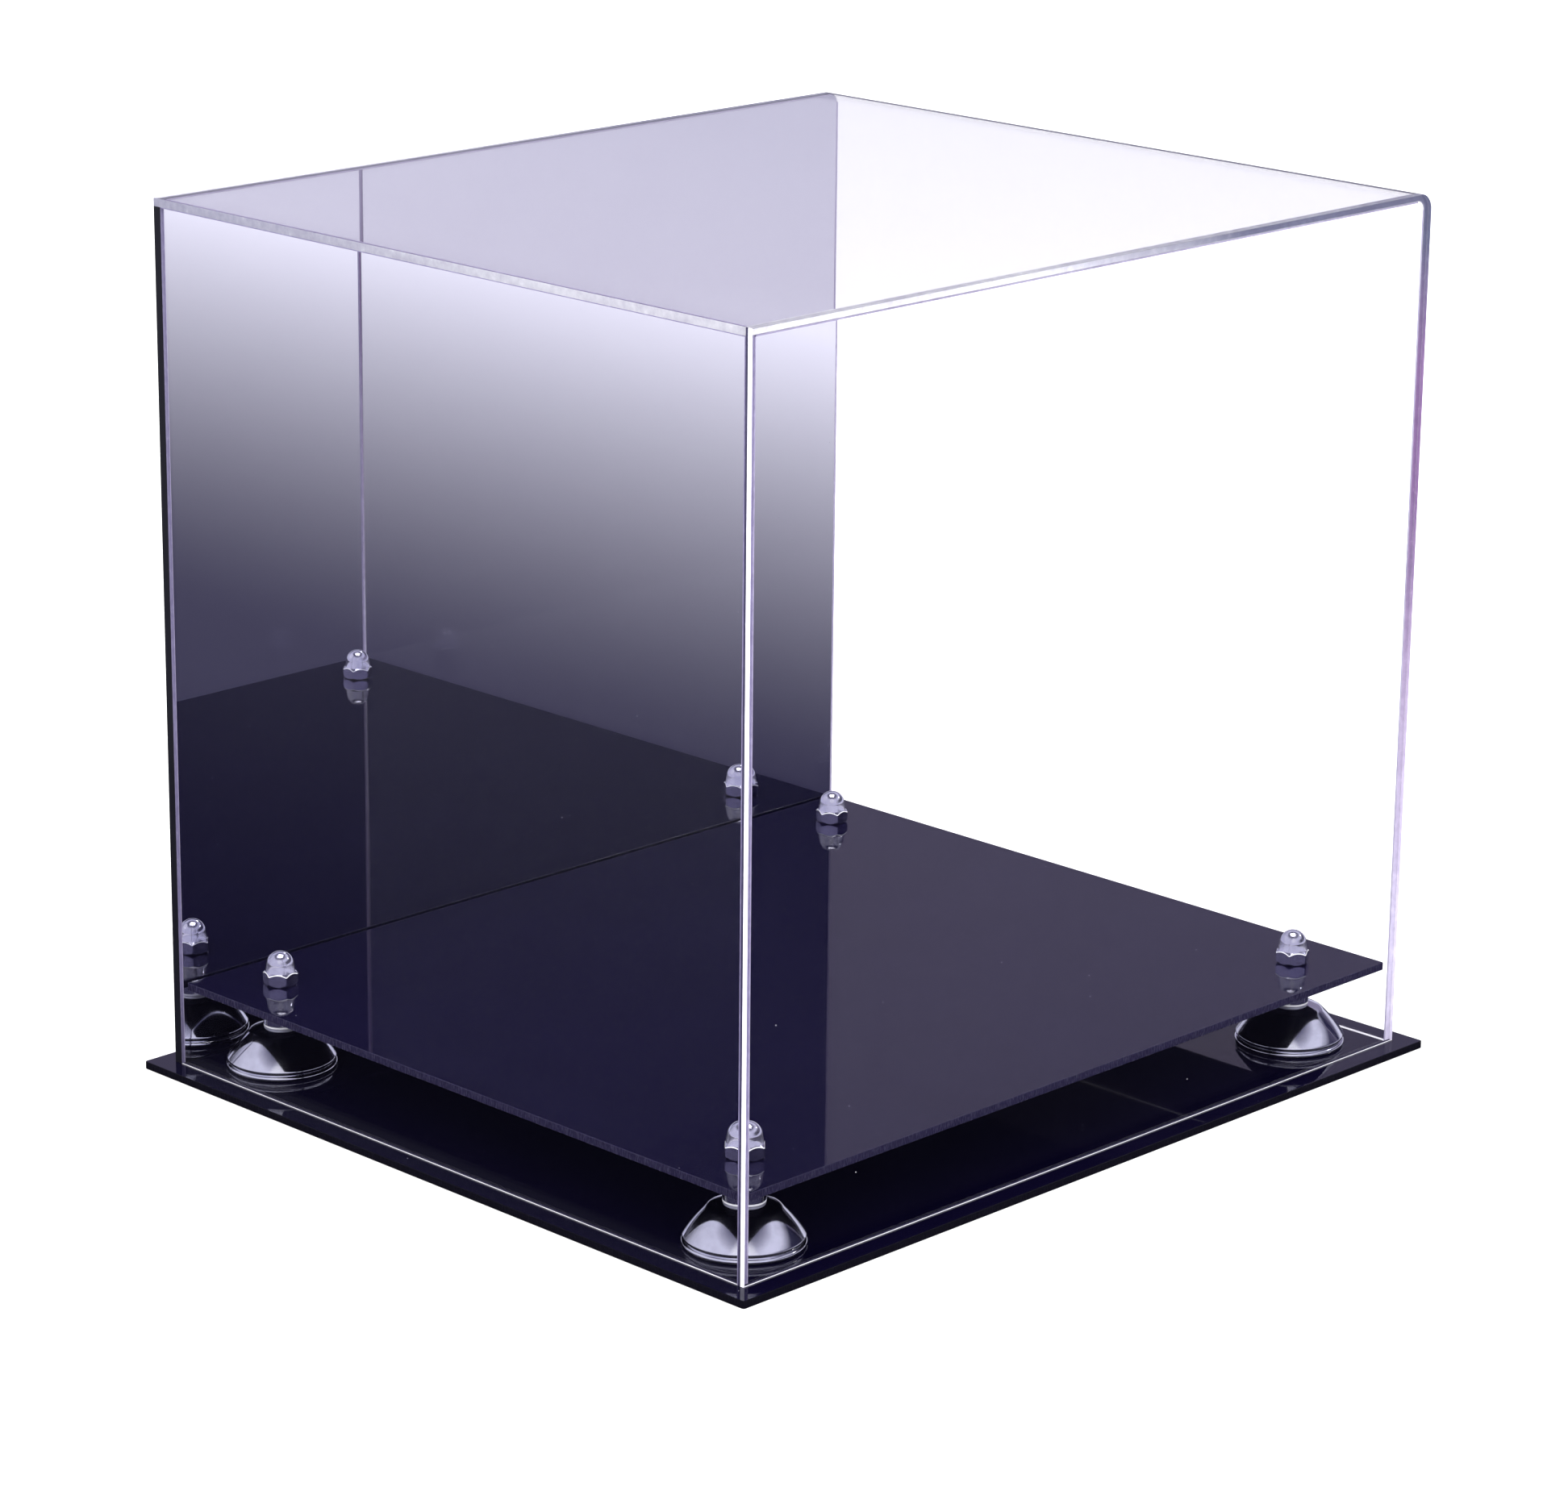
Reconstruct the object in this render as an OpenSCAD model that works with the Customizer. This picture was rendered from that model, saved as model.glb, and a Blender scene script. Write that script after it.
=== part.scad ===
/* [Cover] */
// Outside width of the cover
cover_w = 384; // [300:1:600]
// Outside depth of the cover, from the front panel to the mirror
cover_d = 332; // [260:1:500]
// Height of the cover
cover_h = 360; // [120:1:500]
// Thickness of the clear sheet
sheet_t = 3.2; // [2.5:0.1:5]
// Thickness of the mirror panel
mirror_t = 4; // [2:0.1:6]
// Outside radius of the heat bend between the top and the right wall
bend_r = 7; // [6:0.5:15]

/* [Base plate] */
// How far the base plate shows past the cover on each side
base_margin = 9; // [4:0.5:30]
// Thickness of the base plate
base_t = 3.2; // [3:0.1:8]
// Radius of the corners of the base plate and the shelf
plate_corner_r = 1.2; // [0.5:0.1:6]

/* [Shelf] */
// Thickness of the shelf
shelf_t = 3.2; // [2.5:0.1:8]
// Gap between the shelf and the cover's inside walls
shelf_gap = 1.2; // [1:0.1:20]

/* [Risers] */
// Height of a riser, from the base plate to the shelf
riser_h = 31.75; // [24:0.25:34]
// Distance from the shelf's edges to a riser's axis
riser_inset = 27.2; // [24:0.1:60]
// Diameter of the bell at its rim
bell_d = 45.8; // [42:0.2:48]
// Height of the bell
bell_h = 17.1; // [16:0.1:20]
// Height of the rounded rim at the bell's foot
rim_h = 2.4; // [1.5:0.1:3]
// How far the rim stands out past the bell's side
rim_step = 0.4; // [0.2:0.1:1.5]
// Radius of the shoulder between the bell's side and its flared cone
shoulder_r = 1; // [0.5:0.1:1.5]
// Height of the shoulder's centre over the rim
shoulder_rise = 1.5; // [0.3:0.1:2]
// Diameter where the bell's cone turns into its rounded crown
crown_d = 27.2; // [22:0.2:30]
// Height where the bell's cone turns into its rounded crown
crown_h = 14.75; // [14:0.05:15.5]
// Radius of the crown
crown_r = 4; // [1:0.5:5]
// Diameter of the collar between the bell and the shelf
collar_d = 14.6; // [13:0.1:18]
// Radius of the collar's rounded ends
collar_edge_r = 0.6; // [0.2:0.1:1.5]

/* [Fasteners] */
// Diameter of the screw's shank
screw_d = 6.35; // [5:0.05:6.5]
// Length of the screw, with its countersunk head
screw_l = 45; // [42:0.5:46]
// Diameter of the screw's head
screw_head_d = 12; // [11:0.5:12]
// Size of the hexagon socket in the screw's head, across its flats
socket_af = 4; // [3:0.5:5]
// Depth of the hexagon socket
socket_depth = 2; // [1:0.1:2.5]
// Diameter of the clearance holes that the screw passes through
clearance_d = 7; // [6.8:0.1:8]
// Size of the cap nut across its flats
nut_af = 12.7; // [11:0.1:14]
// Height of the cap nut's hexagon, up to the foot of its dome
nut_hex_h = 5.8; // [4:0.1:7]
// Angle of the cones that cut the hexagon's lower and upper corners
nut_chamfer = 45; // [20:1:50]
// Diameter of the cap nut's dome at its foot
nut_dome_foot_d = 12.2; // [11:0.1:12.4]
// Diameter of the half sphere that closes the dome
nut_dome_d = 11.4; // [10:0.1:12]
// Angle by which the dome's wall leans inwards
nut_dome_lean = 8; // [0:1:12]
// Height of the cap nut with its dome
nut_h = 14; // [13.5:0.1:18]
// Depth of the cap nut's threaded hole
nut_hole_depth = 9; // [8:0.1:10]
// Angles of the tightened cap nuts: front left, front right, back left, back right
nut_turns = [45, 28, 10, 5]; // [0:1:60]

/* [Hidden] */

// The frame's origin is on the table, under the middle of the base plate.
// The front panel faces -Y and the mirror stands at +Y.
base_w = cover_w + 2 * base_margin;
base_d = cover_d + 2 * base_margin;
base_top = base_t;
shelf_bottom = base_top + riser_h;
shelf_top = shelf_bottom + shelf_t;

// The cover's inside is sheet_t from its front and mirror_t from its back.
inside_y = (sheet_t - mirror_t) / 2;
shelf_w = cover_w - 2 * sheet_t - 2 * shelf_gap;
shelf_d = cover_d - sheet_t - mirror_t - 2 * shelf_gap;
riser_x = shelf_w / 2 - riser_inset;
riser_y = shelf_d / 2 - riser_inset;

// Height of the walls that stand under the top sheet
wall_h = cover_h - sheet_t;
// Inside radius of the heat bend
bend_inner_r = bend_r - sheet_t;

// Round surfaces use this many segments, short profiles use fewer steps.
round_fn = 96;
bell_steps = 14;
dome_steps = 28;
edge_steps = 6;
// Drilled tools run past the faces that they cut by this much.
past = 1;

FRONT_LEFT = [-1, -1];
FRONT_RIGHT = [1, -1];
BACK_LEFT = [-1, 1];
BACK_RIGHT = [1, 1];
CORNERS = [FRONT_LEFT, FRONT_RIGHT, BACK_LEFT, BACK_RIGHT];

// The corner of a hexagon is this far from its axis.
function hex_r(af) = af / 2 / cos(30);

// Points of an arc about the point c, from angle a0 to a1
function arc(c, r, a0, a1, steps) = [
    for (i = [0:steps])
        c + r * [cos(a0 + (a1 - a0) * i / steps), sin(a0 + (a1 - a0) * i / steps)]
];

// Places its children on the axis of the riser at one corner.
module at_riser(corner, z) {
    translate([corner[0] * riser_x, inside_y + corner[1] * riser_y, z]) children();
}

// A flat plate centred on the point [0, y], with small round corners
module plate(w, d, t, r, y) {
    translate([-w / 2, y - d / 2, 0])
        linear_extrude(height = t) {
            translate([r, 0]) square([w - 2 * r, d]);
            translate([0, r]) square([w, d - 2 * r]);
            for (x = [r, w - r], v = [r, d - r])
                translate([x, v]) circle(r = r, $fn = round_fn);
        }
}

// The clearance hole for a riser screw through a plate that starts at z
module screw_hole(corner, z, t) {
    at_riser(corner, z - past)
        cylinder(h = t + 2 * past, d = clearance_d, $fn = round_fn);
}

// The 90 degree countersink in the plate's lower face
module countersink(corner) {
    at_riser(corner, -past)
        cylinder(
            h = past + screw_head_d / 2,
            r1 = screw_head_d / 2 + past,
            r2 = 0,
            $fn = round_fn
        );
}

module base_plate() {
    color("#0b0b10")
        difference() {
            plate(base_w, base_d, base_t, plate_corner_r, 0);
            for (corner = CORNERS) {
                screw_hole(corner, 0, base_t);
                countersink(corner);
            }
        }
}

module shelf() {
    color("#1d1b26")
        difference() {
            translate([0, 0, shelf_bottom])
                plate(shelf_w, shelf_d, shelf_t, plate_corner_r, inside_y);
            for (corner = CORNERS)
                screw_hole(corner, shelf_bottom, shelf_t);
        }
}

// A point of a cubic curve with the end points a and d, for u from 0 to 1
function cubic(a, b, c, d, u) =
    pow(1 - u, 3) * a
    + 3 * pow(1 - u, 2) * u * b
    + 3 * (1 - u) * pow(u, 2) * c
    + pow(u, 3) * d;

// The bell's outline, from the foot of its bore round the rim to the foot of its collar
function bell_outline() =
    let (
        rim_r = rim_h / 2,
        side_r = bell_d / 2 - rim_step,
        shoulder = [side_r - shoulder_r, rim_h + shoulder_rise],
        cone_start = shoulder + shoulder_r * [cos(35), sin(35)],
        crown = [crown_d / 2, crown_h],
        cone = crown - cone_start
    )
    concat(
        [[clearance_d / 2, 0]],
        arc([bell_d / 2 - rim_r, rim_r], rim_r, -90, 80, 2 * edge_steps),
        arc(shoulder, shoulder_r, 0, 28, 3),
        [
            for (i = [0:bell_steps])
                cubic(
                    cone_start,
                    cone_start + [cone[0] * 0.3, cone[1] * 0.37],
                    crown - [cone[0] * 0.36, cone[1] * 0.31],
                    crown,
                    i / bell_steps
                )
        ],
        arc(crown - crown_r * [cos(45), sin(45)], crown_r, 49, 72, 5),
        [
            [collar_d / 2 + 0.5, bell_h],
            [clearance_d / 2, bell_h]
        ]
    );

module riser_bell(corner) {
    color("#c8c9d2")
        at_riser(corner, base_top)
            rotate_extrude($fn = round_fn) polygon(bell_outline());
}

module riser_collar(corner) {
    h = riser_h - bell_h;
    r = collar_d / 2 - collar_edge_r;
    color("#d6d7de")
        at_riser(corner, base_top + bell_h)
            rotate_extrude($fn = round_fn)
                polygon(concat(
                    [[clearance_d / 2, 0]],
                    arc([r, collar_edge_r], collar_edge_r, -90, 0, edge_steps),
                    arc([r, h - collar_edge_r], collar_edge_r, 0, 90, edge_steps),
                    [[clearance_d / 2, h]]
                ));
}

// A countersunk machine screw, its head flush with the base plate's lower face
module riser_screw(corner) {
    cone_h = (screw_head_d - screw_d) / 2;
    color("#a9aab2")
        at_riser(corner, 0)
            difference() {
                union() {
                    cylinder(
                        h = cone_h,
                        d1 = screw_head_d,
                        d2 = screw_d,
                        $fn = round_fn
                    );
                    translate([0, 0, cone_h])
                        cylinder(h = screw_l - cone_h, d = screw_d, $fn = round_fn);
                }
                translate([0, 0, -past])
                    cylinder(h = socket_depth + past, r = hex_r(socket_af), $fn = 6);
            }
}

// The dome's outline: a wall that leans inwards, closed by a part of a sphere
function dome_outline() =
    let (r = nut_dome_d / 2)
    concat(
        [[0, 0], [nut_dome_foot_d / 2, 0], [nut_dome_foot_d / 2, nut_hex_h]],
        arc([0, nut_h - r], r, nut_dome_lean, 90, dome_steps)
    );

// The cap nut's hexagon: cones cut its lower and upper corners, up to the dome's foot.
module nut_hexagon() {
    outer_r = hex_r(nut_af) + past;
    dome_r = nut_dome_foot_d / 2;
    lower_h = (outer_r - nut_af / 2) * tan(nut_chamfer);
    upper_h = (outer_r - dome_r) * tan(nut_chamfer);
    intersection() {
        cylinder(h = nut_hex_h, r = hex_r(nut_af), $fn = 6);
        rotate_extrude($fn = round_fn)
            polygon([
                [0, 0],
                [nut_af / 2, 0],
                [outer_r, lower_h],
                [outer_r, nut_hex_h - upper_h],
                [dome_r, nut_hex_h],
                [0, nut_hex_h]
            ]);
    }
}

module cap_nut(corner, turn) {
    color("#cfd0d8")
        at_riser(corner, shelf_top)
            rotate([0, 0, turn])
                difference() {
                    union() {
                        nut_hexagon();
                        rotate_extrude($fn = round_fn) polygon(dome_outline());
                    }
                    translate([0, 0, -past])
                        cylinder(h = nut_hole_depth + past, d = screw_d, $fn = round_fn);
                }
}

// A wall's outline in the XZ plane with a round upper right corner
module wall_outline(x0, x1, h, r) {
    translate([x0, 0]) square([x1 - x0, h - r]);
    translate([x0, h - r]) square([x1 - r - x0, r]);
    translate([x1 - r, h - r])
        intersection() {
            circle(r = r, $fn = round_fn);
            square(r);
        }
}

// Extrudes an XZ outline from y0 to y1 on top of the base plate.
module stand_on_base(y0, y1) {
    translate([0, y1, base_top])
        rotate([90, 0, 0])
            linear_extrude(height = y1 - y0) children();
}

module cover_front_panel() {
    color("#e4e4f2", 0.3)
        stand_on_base(-cover_d / 2, -cover_d / 2 + sheet_t)
            wall_outline(-cover_w / 2, cover_w / 2, cover_h, bend_r);
}

module cover_left_panel() {
    color("#e4e4f2", 0.3)
        stand_on_base(-cover_d / 2 + sheet_t, cover_d / 2 - mirror_t)
            translate([-cover_w / 2, 0]) square([sheet_t, wall_h]);
}

// One sheet, bent at the upper right edge: it is the top and the right wall.
module cover_top_and_right_sheet() {
    color("#e4e4f2", 0.3)
        stand_on_base(-cover_d / 2 + sheet_t, cover_d / 2)
            difference() {
                wall_outline(-cover_w / 2, cover_w / 2, cover_h, bend_r);
                translate([0, -past])
                    wall_outline(
                        -cover_w / 2 - past,
                        cover_w / 2 - sheet_t,
                        wall_h + past,
                        bend_inner_r
                    );
            }
}

// The mirror fits under the top and against the right wall, into the bend.
module cover_mirror_panel() {
    color("#8f90a6")
        stand_on_base(cover_d / 2 - mirror_t, cover_d / 2)
            wall_outline(-cover_w / 2, cover_w / 2 - sheet_t, wall_h, bend_inner_r);
}

base_plate();
riser_bell(FRONT_LEFT);  // riser_bell_front_left
riser_bell(FRONT_RIGHT);  // riser_bell_front_right
riser_bell(BACK_LEFT);  // riser_bell_back_left
riser_bell(BACK_RIGHT);  // riser_bell_back_right
riser_collar(FRONT_LEFT);  // riser_collar_front_left
riser_collar(FRONT_RIGHT);  // riser_collar_front_right
riser_collar(BACK_LEFT);  // riser_collar_back_left
riser_collar(BACK_RIGHT);  // riser_collar_back_right
riser_screw(FRONT_LEFT);  // riser_screw_front_left
riser_screw(FRONT_RIGHT);  // riser_screw_front_right
riser_screw(BACK_LEFT);  // riser_screw_back_left
riser_screw(BACK_RIGHT);  // riser_screw_back_right
shelf();
cap_nut(FRONT_LEFT, nut_turns[0]);  // cap_nut_front_left
cap_nut(FRONT_RIGHT, nut_turns[1]);  // cap_nut_front_right
cap_nut(BACK_LEFT, nut_turns[2]);  // cap_nut_back_left
cap_nut(BACK_RIGHT, nut_turns[3]);  // cap_nut_back_right
cover_front_panel();
cover_left_panel();
cover_top_and_right_sheet();
cover_mirror_panel();
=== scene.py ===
import math

import bmesh
import bpy
from mathutils import Matrix, Vector


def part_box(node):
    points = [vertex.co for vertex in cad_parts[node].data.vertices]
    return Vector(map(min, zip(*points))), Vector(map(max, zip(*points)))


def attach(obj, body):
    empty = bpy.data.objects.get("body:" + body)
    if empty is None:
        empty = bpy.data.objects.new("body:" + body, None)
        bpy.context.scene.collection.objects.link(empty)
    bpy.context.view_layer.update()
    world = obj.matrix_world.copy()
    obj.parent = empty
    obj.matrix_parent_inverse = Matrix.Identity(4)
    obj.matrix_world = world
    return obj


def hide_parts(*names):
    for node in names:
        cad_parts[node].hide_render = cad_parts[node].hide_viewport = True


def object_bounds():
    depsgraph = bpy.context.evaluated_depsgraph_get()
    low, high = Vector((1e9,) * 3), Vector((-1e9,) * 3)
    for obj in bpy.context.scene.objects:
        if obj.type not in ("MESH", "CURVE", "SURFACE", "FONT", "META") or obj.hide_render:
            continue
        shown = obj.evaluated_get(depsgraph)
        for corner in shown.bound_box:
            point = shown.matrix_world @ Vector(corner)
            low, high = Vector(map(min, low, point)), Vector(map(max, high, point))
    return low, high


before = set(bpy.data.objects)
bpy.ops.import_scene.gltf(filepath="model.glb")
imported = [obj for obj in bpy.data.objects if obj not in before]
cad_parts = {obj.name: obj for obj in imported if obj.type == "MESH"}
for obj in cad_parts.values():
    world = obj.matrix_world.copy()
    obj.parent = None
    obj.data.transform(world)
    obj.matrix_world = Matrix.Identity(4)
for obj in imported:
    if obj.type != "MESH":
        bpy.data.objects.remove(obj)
cad_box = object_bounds()

MM = 0.001
CORNERS = ("front_left", "front_right", "back_left", "back_right")

# Panels of the cover that touch in the CAD stand this far apart here, so that none of
# their faces coincide.
JOINT_GAP = 0.04 * MM
# Size and steps of the rounded edges of a cut and polished sheet
EDGE_ROUND = 0.3 * MM
EDGE_STEPS = 3
# The heat bend and the panel corners that match it use this many steps to a quarter turn.
CORNER_STEPS = 12
# Turned parts, screw holes and screws use this many segments round their axis.
TURNED_SEGMENTS = 144
HOLE_SEGMENTS = 72
SCREW_SEGMENTS = 48
# Edges that turn by more than this stay sharp.
SHARP_ANGLE = math.radians(34)

SHEET = 3.2 * MM
BEND_RADIUS = 7 * MM
# The black plates' corners
PLATE_CORNER = 1.2 * MM
PLATE_CORNER_STEPS = 6
# The bores that the screws pass through
CLEARANCE_RADIUS = 3.5 * MM

SCREW_HEAD_RADIUS = 6 * MM
SCREW_HEAD_EDGE = 0.1 * MM
SCREW_RADIUS = 3.175 * MM
SCREW_PITCH = 1.27 * MM
THREAD_DEPTH = 0.55 * MM
THREAD_ROWS_PER_TURN = 8
# Plain length between the head's cone and the thread, and length of the tip's chamfer
THREAD_START = 2 * MM
THREAD_RUN_OUT = 0.8 * MM
SOCKET_FLATS = 4 * MM
SOCKET_DEPTH = 2 * MM

NUT_FLATS = 12.7 * MM
NUT_HEX_HEIGHT = 5.8 * MM
NUT_DOME_FOOT = 6.1 * MM
NUT_DOME_RADIUS = 5.7 * MM
# Angle where the dome's curve starts, in degrees
NUT_DOME_LEAN = 8
NUT_HOLE_DEPTH = 9 * MM
# Size of the hexagon's small edges, and of the band between flats and cut corners that carries a
# painted highlight
NUT_EDGE = 0.12 * MM
NUT_HIGHLIGHT_BAND = 0.13 * MM
# How far each cap nut is turned from the X axis when it is tight, in degrees
NUT_TURNS = {"front_left": 45, "front_right": 28, "back_left": 10, "back_right": 5}

# A bell's rolled rim, and how far the side stands back from it
BELL_ROLL = 1.2 * MM
BELL_SIDE_STEP = 0.4 * MM
# The shoulder between the side and the flared cone: its radius, height and last angle
SHOULDER_RADIUS = 1.0 * MM
SHOULDER_HEIGHT = 3.9 * MM
SHOULDER_LEAN = math.radians(35)
# The crown: where the cone turns into it, its radius, and the radius of its flat top
CROWN = Vector((13.6, 14.75)) * MM
CROWN_RADIUS = 4.0 * MM
CROWN_TOP_RADIUS = 7.8 * MM
# Handles of the cone's curve, as shares of its width and height
FLARE_HANDLE = (0.3, 0.37)
NECK_HANDLE = (0.36, 0.31)
CONE_STEPS = 40

COLLAR_EDGE = 0.6 * MM
# Height of the ring at a collar's foot that carries a painted highlight, and slack for comparing
# with that height
COLLAR_FOOT = 1.1 * MM
FOOT_SLACK = 0.01 * MM

# Size of the fillet of solvent cement in a corner of the cover
FILLET = 0.55 * MM
FILLET_STEPS = 6
# How far the painted shade of the heat bend, a dark tint, reaches into the flat top
BEND_SHADE_STRIP = 1.8 * MM
# The outer strip of a polished edge where the light comes out of the sheet, painted there as a
# glow
LIT_STRIP = 1.85 * MM

# Refractive index of acrylic
ACRYLIC_IOR = 1.49

FLOOR_SIZE = 24.0
FLOOR_STEPS = 8

# The photograph's view: azimuth, elevation and roll in degrees, the distance, and the
# point it aims at, from the middle of the object
CAMERA_ANGLES = (-45.47, 16.72, -0.61)
CAMERA_DISTANCE = 2.0531
CAMERA_AIM = Vector((-11.4, -6.1, -41.3)) * MM
# Focal length and sensor width in mm
CAMERA_LENS = 116.16
CAMERA_SENSOR = 36


# ---------------------------------------------------------------- node graphs

def add(tree, kind, inputs=None, **settings):
    """Adds a shader node. inputs maps sockets to values or to other nodes' outputs."""
    node = tree.nodes.new("ShaderNode" + kind)
    for key, value in settings.items():
        setattr(node, key, value)
    for key, value in (inputs or {}).items():
        if isinstance(value, bpy.types.NodeSocket):
            tree.links.new(value, node.inputs[key])
        else:
            node.inputs[key].default_value = value
    return node


def math_node(tree, operation, first, second=0.0, clamp=False):
    node = add(tree, "Math", {0: first, 1: second}, operation=operation, use_clamp=clamp)
    return node.outputs[0]


def remap(tree, value, low, high, to_low=0.0, to_high=1.0):
    """Maps low..high to to_low..to_high and clamps."""
    node = add(
        tree,
        "MapRange",
        {0: value, 1: low, 2: high, 3: to_low, 4: to_high},
        clamp=True,
    )
    return node.outputs[0]


def mix_colour(tree, factor, first, second):
    node = add(tree, "Mix", {0: factor}, data_type="RGBA")
    for socket, value in ((node.inputs[6], first), (node.inputs[7], second)):
        if isinstance(value, bpy.types.NodeSocket):
            tree.links.new(value, socket)
        else:
            socket.default_value = (*value, 1.0)
    return node.outputs[2]


def tinted(tree, colour, tint):
    """One colour multiplied by another."""
    node = add(tree, "Mix", {0: 1.0, 6: colour}, data_type="RGBA", blend_type="MULTIPLY")
    if isinstance(tint, bpy.types.NodeSocket):
        tree.links.new(tint, node.inputs[7])
    else:
        node.inputs[7].default_value = (*tint, 1.0)
    return node.outputs[2]


def object_space(tree, scale=(1, 1, 1), rotation=(0, 0, 0)):
    """Object coordinates in metres, turned and scaled."""
    place = add(tree, "TexCoord")
    turned = add(
        tree,
        "Mapping",
        {"Vector": place.outputs["Object"], "Rotation": rotation, "Scale": scale},
    )
    return turned.outputs[0]


def noise(tree, vector, scale, detail=3.0, roughness=0.5):
    node = add(
        tree,
        "TexNoise",
        {"Vector": vector, "Scale": scale, "Detail": detail, "Roughness": roughness},
    )
    return node.outputs[0]


def bump(tree, height, strength, distance):
    inputs = {"Height": height, "Strength": strength, "Distance": distance}
    return add(tree, "Bump", inputs).outputs[0]


def dust(tree, cells, size, share):
    """A mask of small round specks: cells per metre, size in cells, share of cells in use."""
    cell = add(tree, "TexVoronoi", {"Vector": object_space(tree), "Scale": cells})
    chance = add(tree, "SeparateColor", {0: cell.outputs["Color"]}).outputs[0]
    used = math_node(tree, "LESS_THAN", chance, share)
    speck = remap(tree, cell.outputs["Distance"], size * 0.6, size, 1.0, 0.0)
    return math_node(tree, "MULTIPLY", used, speck)


def hairlines(tree, angle, density, thinness):
    """A mask of fine straight scratches that run along one direction."""
    along = object_space(tree, (density * 0.02, density, density), (0, 0.3, angle))
    field = noise(tree, along, 1.0, 2.0)
    offset = math_node(tree, "ABSOLUTE", math_node(tree, "SUBTRACT", field, 0.5))
    line = remap(tree, offset, 0.0, thinness, 1.0, 0.0)
    patches = remap(tree, noise(tree, object_space(tree), 14.0), 0.52, 0.68)
    return math_node(tree, "MULTIPLY", line, patches)


def new_material(name):
    """A material with its tree and its Principled node."""
    material = bpy.data.materials.new(name)
    material.use_nodes = True
    tree = material.node_tree
    return material, tree, tree.nodes["Principled BSDF"]


def output_of(tree):
    return tree.nodes["Material Output"].inputs["Surface"]


# ------------------------------------------------------------------ materials

def gloss_black():
    """Black cast acrylic: deep gloss, faint hairlines and a few specks of dust."""
    material, tree, shader = new_material("gloss_black_acrylic")
    specks = dust(tree, 210.0, 0.05, 0.045)
    lines = hairlines(tree, 0.6, 900.0, 0.012)
    cloud = noise(tree, object_space(tree), 22.0, 5.0)
    body = mix_colour(tree, cloud, (0.0018, 0.0013, 0.0085), (0.0030, 0.0022, 0.0130))
    body = mix_colour(tree, math_node(tree, "MULTIPLY", lines, 0.02), body, (0.3, 0.3, 0.4))
    body = mix_colour(tree, math_node(tree, "MULTIPLY", specks, 0.7), body, (0.5, 0.48, 0.6))
    tree.links.new(body, shader.inputs["Base Color"])
    film = remap(tree, cloud, 0.35, 0.7, 0.015, 0.04)
    rough = math_node(tree, "ADD", film, math_node(tree, "MULTIPLY", specks, 0.5), True)
    tree.links.new(rough, shader.inputs["Roughness"])
    wave = noise(tree, object_space(tree), 5.0, 1.0)
    tree.links.new(bump(tree, wave, 0.05, 0.0003), shader.inputs["Normal"])
    shader.inputs["IOR"].default_value = ACRYLIC_IOR
    return material


def cut_black(name, dark, light, gloss):
    """The saw-cut and scraped edge of the black sheet: fine marks across it."""
    material, tree, shader = new_material(name)
    marks = noise(tree, object_space(tree, (1, 1, 0.15)), 2600.0, 2.0)
    tree.links.new(mix_colour(tree, marks, dark, light), shader.inputs["Base Color"])
    tree.links.new(remap(tree, marks, 0.3, 0.7, 0.16, 0.34), shader.inputs["Roughness"])
    tree.links.new(bump(tree, marks, 0.25, 0.00004), shader.inputs["Normal"])
    shader.inputs["Specular IOR Level"].default_value = gloss
    shader.inputs["IOR"].default_value = ACRYLIC_IOR
    return material


def clear_acrylic(name, colour):
    """Clear cast sheet: lamps and soft light pass it, with faint waves and dust."""
    material, tree, shader = new_material(name)
    shader.inputs["Base Color"].default_value = (*colour, 1)
    shader.inputs["Transmission Weight"].default_value = 1.0
    shader.inputs["Roughness"].default_value = 0.0
    shader.inputs["IOR"].default_value = ACRYLIC_IOR
    shader.inputs["Specular Tint"].default_value = (0.08, 0.08, 0.10, 1)
    wave = noise(tree, object_space(tree), 7.0, 1.0)
    tree.links.new(bump(tree, wave, 0.06, 0.0004), shader.inputs["Normal"])
    path = add(tree, "LightPath")
    passes = math_node(
        tree,
        "MAXIMUM",
        path.outputs["Is Shadow Ray"],
        path.outputs["Is Diffuse Ray"],
    )
    through = add(tree, "BsdfTransparent", {"Color": (0.95, 0.95, 0.96, 1)})
    sheet = add(
        tree,
        "MixShader",
        {0: passes, 1: shader.outputs[0], 2: through.outputs[0]},
    )
    specks = math_node(tree, "MULTIPLY", dust(tree, 120.0, 0.035, 0.03), 0.6)
    speck_shader = add(tree, "BsdfDiffuse", {"Color": (0.85, 0.85, 0.9, 1)})
    whole = add(
        tree,
        "MixShader",
        {0: specks, 1: sheet.outputs[0], 2: speck_shader.outputs[0]},
    )
    tree.links.new(whole.outputs[0], output_of(tree))
    return material


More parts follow.
